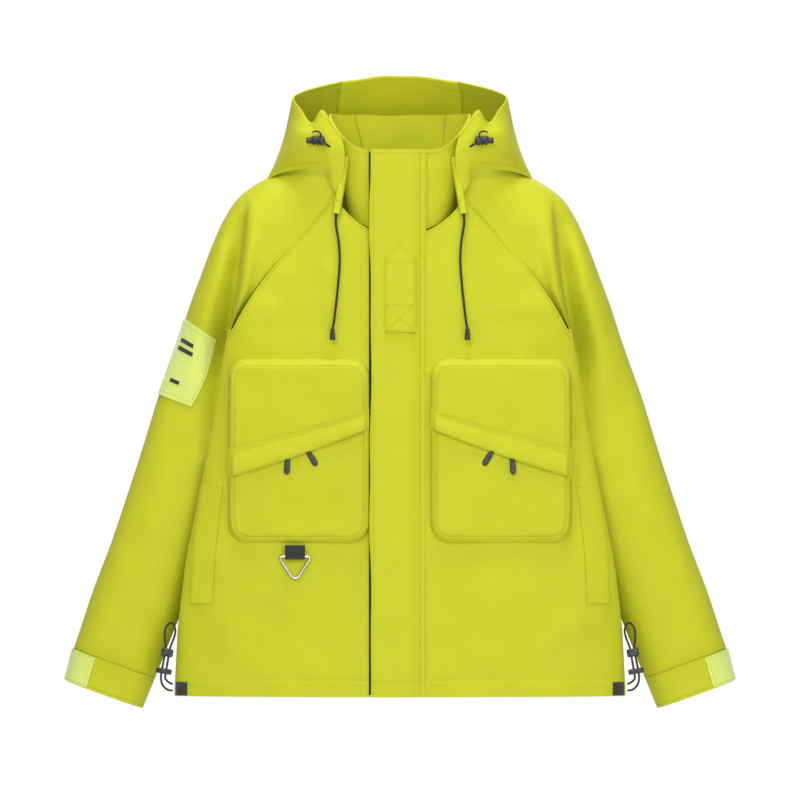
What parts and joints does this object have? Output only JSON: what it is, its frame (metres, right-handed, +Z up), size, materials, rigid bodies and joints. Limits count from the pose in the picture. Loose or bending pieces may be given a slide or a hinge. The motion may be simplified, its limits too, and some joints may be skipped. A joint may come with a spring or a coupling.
{
  "type": "ski jacket",
  "caption": "Hooded ski shell jacket with raglan sleeves, storm flap over the front zip, bellows chest pockets, hem and hood cords.",
  "frame": {"origin": "top of the hang loop inside the back of the neck, where a hook holds the jacket", "axes": "+Z up, the wearer faces -Y, the wearer's left side is +X"},
  "size_m": [0.9514, 0.2596, 0.8874],
  "materials": {
    "shell_fabric": "woven acid yellow shell with a soft sheen",
    "lining_fabric": "smooth acid yellow inner face of the hood",
    "pale_fabric": "brushed pale green loop fastener",
    "webbing": "ribbed near-black webbing",
    "cord": "round braided elastic cord",
    "black_trim": "satin black moulded trim",
    "zip_coil": "dark coil zip on tape",
    "nickel": "polished nickel wire"
  },
  "bodies": {
    "root": {"back_panel": "shell_fabric", "collar": "shell_fabric", "hang_loop": "webbing", "front_zip": "zip_coil", "ring_webbing": "webbing", "front_panel_left": "shell_fabric", "shoulder_left": "shell_fabric", "cord_tunnel_left": "shell_fabric", "hood_cord_left": "cord", "cord_end_left": "black_trim", "chest_pocket_left": "shell_fabric", "pocket_zip_left": "zip_coil", "hand_pocket_welt_left": "shell_fabric", "hem_tab_left": "black_trim", "hem_keeper_left": "black_trim", "hem_cord_left": "cord", "front_panel_right": "shell_fabric", "shoulder_right": "shell_fabric", "cord_tunnel_right": "shell_fabric", "hood_cord_right": "cord", "cord_end_right": "black_trim", "chest_pocket_right": "shell_fabric", "pocket_zip_right": "zip_coil", "hand_pocket_welt_right": "shell_fabric", "hem_tab_right": "black_trim", "hem_keeper_right": "black_trim", "hem_cord_right": "cord"},
    "hood": {"hood_centre_panel": "lining_fabric", "hood_panel_left": "shell_fabric", "hood_lock_left": "black_trim", "hood_panel_right": "shell_fabric", "hood_lock_right": "black_trim"},
    "storm_flap": {"storm_flap": "shell_fabric", "chest_tab": "shell_fabric"},
    "front_slider": {"front_zip_slider": "black_trim"},
    "front_pull": {"front_zip_pull": "black_trim"},
    "ring": {"triangle_ring": "nickel"},
    "hood_button_left": {"hood_lock_button_left": "black_trim"},
    "upper_sleeve_left": {"upper_sleeve_left": "shell_fabric"},
    "lower_sleeve_left": {"lower_sleeve_left": "shell_fabric", "cuff_left": "shell_fabric"},
    "cuff_tab_left": {"cuff_tab_left": "pale_fabric"},
    "pocket_flap_left": {"pocket_flap_left": "shell_fabric"},
    "hem_lock_left": {"hem_lock_left": "black_trim"},
    "pocket_slider_left_inner": {"pocket_slider_left_inner": "black_trim"},
    "pocket_pull_left_inner": {"pocket_pull_left_inner": "black_trim"},
    "pocket_slider_left_outer": {"pocket_slider_left_outer": "black_trim"},
    "pocket_pull_left_outer": {"pocket_pull_left_outer": "black_trim"},
    "hood_button_right": {"hood_lock_button_right": "black_trim"},
    "upper_sleeve_right": {"upper_sleeve_right": "shell_fabric", "sleeve_patch": "pale_fabric"},
    "lower_sleeve_right": {"lower_sleeve_right": "shell_fabric", "cuff_right": "shell_fabric"},
    "cuff_tab_right": {"cuff_tab_right": "pale_fabric"},
    "pocket_flap_right": {"pocket_flap_right": "shell_fabric"},
    "hem_lock_right": {"hem_lock_right": "black_trim"},
    "pocket_slider_right_inner": {"pocket_slider_right_inner": "black_trim"},
    "pocket_pull_right_inner": {"pocket_pull_right_inner": "black_trim"},
    "pocket_slider_right_outer": {"pocket_slider_right_outer": "black_trim"},
    "pocket_pull_right_outer": {"pocket_pull_right_outer": "black_trim"}
  },
  "joints": [
    {"name": "hood_tilt", "type": "hinge", "parent": "root", "child": "hood", "pos_m": [0, -0.118, -0.012], "axis": [1, 0, 0], "range_deg": [0, 28], "deforming": ["hood_cord_left", "hood_cord_right"]},
    {"name": "storm_flap_open", "type": "hinge", "parent": "root", "child": "storm_flap", "pos_m": [0.035, -0.1809, -0.757], "axis": [0, 0.0364, 0.9993], "range_deg": [0, 100]},
    {"name": "front_zip_slide", "type": "slide", "parent": "root", "child": "front_slider", "axis": [0, -0.0364, -0.9993], "range_m": [0, 0.7]},
    {"name": "front_pull_swivel", "type": "hinge", "parent": "front_slider", "child": "front_pull", "pos_m": [-0.0403, -0.1508, -0.009], "axis": [0, 1, 0], "range_deg": [0, 70]},
    {"name": "ring_swing", "type": "hinge", "parent": "root", "child": "ring", "pos_m": [-0.147, -0.1661, -0.561], "axis": [-1, 0, 0], "range_deg": [0, 100]},
    {"name": "shoulder_raise_left", "type": "hinge", "parent": "root", "child": "upper_sleeve_left", "pos_m": [0.185, -0.041, -0.117], "axis": [0, -1, 0], "range_deg": [0, 45]},
    {"name": "elbow_bend_left", "type": "hinge", "parent": "upper_sleeve_left", "child": "lower_sleeve_left", "pos_m": [0.29787, -0.041, -0.4271], "axis": [-0.6645, -0.7071, -0.2418], "range_deg": [0, 60]},
    {"name": "cuff_tab_open_left", "type": "hinge", "parent": "lower_sleeve_left", "child": "cuff_tab_left", "pos_m": [0.46878, -0.02811, -0.71394], "axis": [-0.342, 0, 0.9397], "range_deg": [0, 100]},
    {"name": "hood_button_left_press", "type": "slide", "parent": "hood", "child": "hood_button_left", "axis": [-1, 0, 0], "range_m": [0, 0.0035], "stiffness_N_per_m": 400, "springref_m": -0.002},
    {"name": "pocket_flap_lift_left", "type": "hinge", "parent": "root", "child": "pocket_flap_left", "pos_m": [0.142, -0.1739, -0.37332], "axis": [-0.9489, -0.0863, 0.3036], "range_deg": [0, 100]},
    {"name": "pocket_zip_left_inner_slide", "type": "slide", "parent": "root", "child": "pocket_slider_left_inner", "axis": [-0.9489, -0.0863, 0.3036], "range_m": [0, 0.072]},
    {"name": "pocket_pull_left_inner_swing", "type": "hinge", "parent": "pocket_slider_left_inner", "child": "pocket_pull_left_inner", "pos_m": [0.131, -0.1722, -0.4114], "axis": [-1, 0, 0], "range_deg": [0, 75]},
    {"name": "pocket_zip_left_outer_slide", "type": "slide", "parent": "root", "child": "pocket_slider_left_outer", "axis": [0.9489, 0.0863, -0.3036], "range_m": [0, 0.072]},
    {"name": "pocket_pull_left_outer_swing", "type": "hinge", "parent": "pocket_slider_left_outer", "child": "pocket_pull_left_outer", "pos_m": [0.157, -0.16984, -0.41972], "axis": [-1, 0, 0], "range_deg": [0, 75]},
    {"name": "hem_lock_left_slide", "type": "slide", "parent": "root", "child": "hem_lock_left", "axis": [-0.1686, 0, 0.9857], "range_m": [-0.003, 0.012]},
    {"name": "shoulder_raise_right", "type": "hinge", "parent": "root", "child": "upper_sleeve_right", "pos_m": [-0.185, -0.041, -0.117], "axis": [0, 1, 0], "range_deg": [0, 45]},
    {"name": "elbow_bend_right", "type": "hinge", "parent": "upper_sleeve_right", "child": "lower_sleeve_right", "pos_m": [-0.29787, -0.041, -0.4271], "axis": [-0.6645, 0.7071, 0.2418], "range_deg": [0, 60]},
    {"name": "cuff_tab_open_right", "type": "hinge", "parent": "lower_sleeve_right", "child": "cuff_tab_right", "pos_m": [-0.46878, -0.02811, -0.71394], "axis": [-0.342, 0, -0.9397], "range_deg": [0, 100]},
    {"name": "hood_button_right_press", "type": "slide", "parent": "hood", "child": "hood_button_right", "axis": [1, 0, 0], "range_m": [0, 0.0035], "stiffness_N_per_m": 400, "springref_m": -0.002},
    {"name": "pocket_flap_lift_right", "type": "hinge", "parent": "root", "child": "pocket_flap_right", "pos_m": [-0.142, -0.1739, -0.37332], "axis": [-0.9489, 0.0863, -0.3036], "range_deg": [0, 100]},
    {"name": "pocket_zip_right_inner_slide", "type": "slide", "parent": "root", "child": "pocket_slider_right_inner", "axis": [0.9489, -0.0863, 0.3036], "range_m": [0, 0.072]},
    {"name": "pocket_pull_right_inner_swing", "type": "hinge", "parent": "pocket_slider_right_inner", "child": "pocket_pull_right_inner", "pos_m": [-0.131, -0.1722, -0.4114], "axis": [-1, 0, 0], "range_deg": [0, 75]},
    {"name": "pocket_zip_right_outer_slide", "type": "slide", "parent": "root", "child": "pocket_slider_right_outer", "axis": [-0.9489, 0.0863, -0.3036], "range_m": [0, 0.072]},
    {"name": "pocket_pull_right_outer_swing", "type": "hinge", "parent": "pocket_slider_right_outer", "child": "pocket_pull_right_outer", "pos_m": [-0.157, -0.16984, -0.41972], "axis": [-1, 0, 0], "range_deg": [0, 75]},
    {"name": "hem_lock_right_slide", "type": "slide", "parent": "root", "child": "hem_lock_right", "axis": [0.1686, 0, 0.9857], "range_m": [-0.003, 0.012]}
  ]
}
